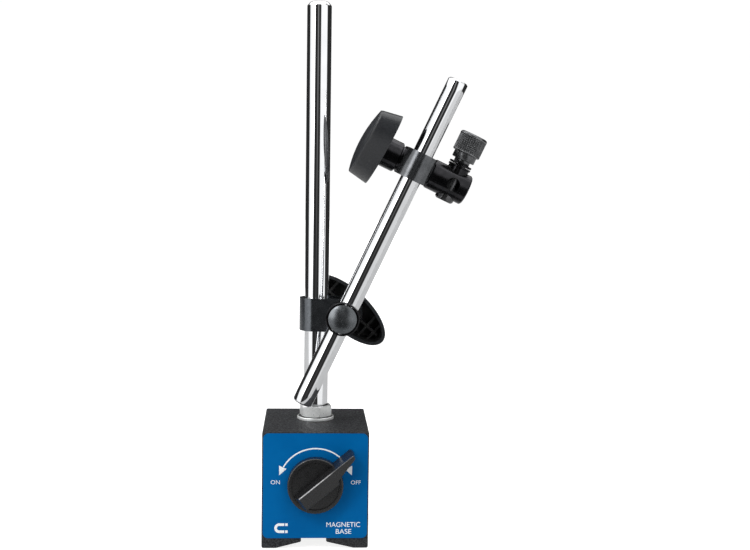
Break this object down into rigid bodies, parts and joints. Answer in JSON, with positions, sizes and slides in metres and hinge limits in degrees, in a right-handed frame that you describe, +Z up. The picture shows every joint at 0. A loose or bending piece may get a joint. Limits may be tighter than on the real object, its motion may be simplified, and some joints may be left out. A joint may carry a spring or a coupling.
{
  "type": "magnetic base indicator stand",
  "caption": "Articulated indicator stand: switchable magnetic base, chromed column, sliding swivel clamp and tilting arm with a stem clamp and oval hand knobs.",
  "frame": {"origin": "centre of the base underside, midway between the two pole faces, at the level of the surface it stands on", "axes": "+Z up along the column, -Y towards the switch knob on the base front, +X to the right seen from the front, the side the arm leans to"},
  "size_m": [0.108, 0.0737, 0.2623],
  "materials": {
    "body_paint": "fine textured black powder coat",
    "pole_iron": "dark oxidised soft iron",
    "spacer_brass": "dull brazed brass",
    "label_blue": "satin blue printed plate",
    "plate_aluminium": "turned aluminium",
    "ferrite": "matt ground ferrite",
    "soft_steel": "machined steel",
    "zinc_steel": "satin zinc plate",
    "chrome": "polished hard chrome",
    "black_oxide": "satin black oxide",
    "gloss_black_steel": "glossy black oxide",
    "knob_plastic": "fine grained moulded black nylon",
    "switch_plastic": "semi-gloss moulded black plastic"
  },
  "bodies": {
    "base": {"left_pole_block": "body_paint", "right_pole_block": "body_paint", "upper_spacer": "body_paint", "lower_spacer": "spacer_brass", "front_bearing_plate": "plate_aluminium", "rear_bearing_plate": "plate_aluminium", "label_plate": "label_blue", "rear_cover": "body_paint", "rear_cover_screws": "black_oxide", "stop_pin": "soft_steel", "detent_ball": "soft_steel", "detent_spring": "soft_steel", "column_washer": "zinc_steel", "column_nut": "zinc_steel"},
    "switch": {"switch_knob": "switch_plastic", "switch_spindle": "soft_steel", "rotor_front_cap": "plate_aluminium", "rotor_rear_cap": "plate_aluminium", "rotor_magnet": "ferrite", "rotor_shoes": "pole_iron"},
    "column": {"column": "chrome"},
    "column_clamp": {"column_strap": "black_oxide", "lower_washer": "gloss_black_steel"},
    "swivel_head": {"swivel_bolt": "black_oxide", "pressure_sleeve": "gloss_black_steel"},
    "lower_knob": {"lower_knob_hub": "gloss_black_steel", "lower_knob_grip": "knob_plastic"},
    "arm": {"arm": "chrome"},
    "arm_clamp": {"arm_strap": "black_oxide", "upper_washer": "gloss_black_steel"},
    "stem_clamp": {"stem_block": "gloss_black_steel", "spring_washers": "gloss_black_steel"},
    "upper_knob": {"upper_knob_hub": "gloss_black_steel", "upper_knob_grip": "knob_plastic"},
    "thumb_nut": {"thumb_nut": "black_oxide"},
    "draw_pin": {"draw_pin": "black_oxide"}
  },
  "joints": [
    {"name": "switch_turn", "type": "hinge", "parent": "base", "child": "switch", "pos_m": [0, -0.03, 0.0312], "axis": [0, -1, 0], "range_deg": [0, 108]},
    {"name": "column_swivel", "type": "hinge", "parent": "base", "child": "column", "pos_m": [0, 0.004, 0.06], "axis": [0, 0, 1], "continuous": true},
    {"name": "clamp_height", "type": "slide", "parent": "column", "child": "column_clamp", "axis": [0, 0, 1], "range_m": [-0.0075, 0.14]},
    {"name": "arm_tilt", "type": "hinge", "parent": "column_clamp", "child": "swivel_head", "pos_m": [0.01444, 0.00269, 0.1091], "axis": [0.0906, 0.9959, 0], "range_deg": [-3, 90]},
    {"name": "lower_knob_turn", "type": "hinge", "parent": "swivel_head", "child": "lower_knob", "pos_m": [0.01553, 0.01464, 0.1091], "axis": [0.0906, 0.9959, 0], "continuous": true},
    {"name": "arm_slide", "type": "slide", "parent": "swivel_head", "child": "arm", "axis": [-0.4218, 0.0384, -0.9059], "range_m": [-0.03, 0.008]},
    {"name": "arm_clamp_swivel", "type": "hinge", "parent": "arm", "child": "arm_clamp", "pos_m": [0.04716, -0.01686, 0.18257], "axis": [0.4218, -0.0384, 0.9059], "range_deg": [-90, 90]},
    {"name": "stem_block_turn", "type": "hinge", "parent": "arm_clamp", "child": "stem_clamp", "pos_m": [0.04689, -0.00388, 0.18324], "axis": [-0.9065, -0.0399, 0.4204], "continuous": true},
    {"name": "upper_knob_turn", "type": "hinge", "parent": "stem_clamp", "child": "upper_knob", "pos_m": [0.03602, -0.00436, 0.18828], "axis": [-0.9065, -0.0399, 0.4204], "continuous": true},
    {"name": "thumb_nut_turn", "type": "hinge", "parent": "stem_clamp", "child": "thumb_nut", "pos_m": [0.0718, -0.00364, 0.18821], "axis": [0.4218, -0.0384, 0.9059], "range_deg": [0, 360]},
    {"name": "draw_pin_lift", "type": "slide", "parent": "stem_clamp", "child": "draw_pin", "axis": [0.4218, -0.0384, 0.9059], "range_m": [0, 0.0008]}
  ],
  "couplings": [
    {"joint": "draw_pin_lift", "follows": "thumb_nut_turn", "m_per_rad": 0.00012732}
  ]
}
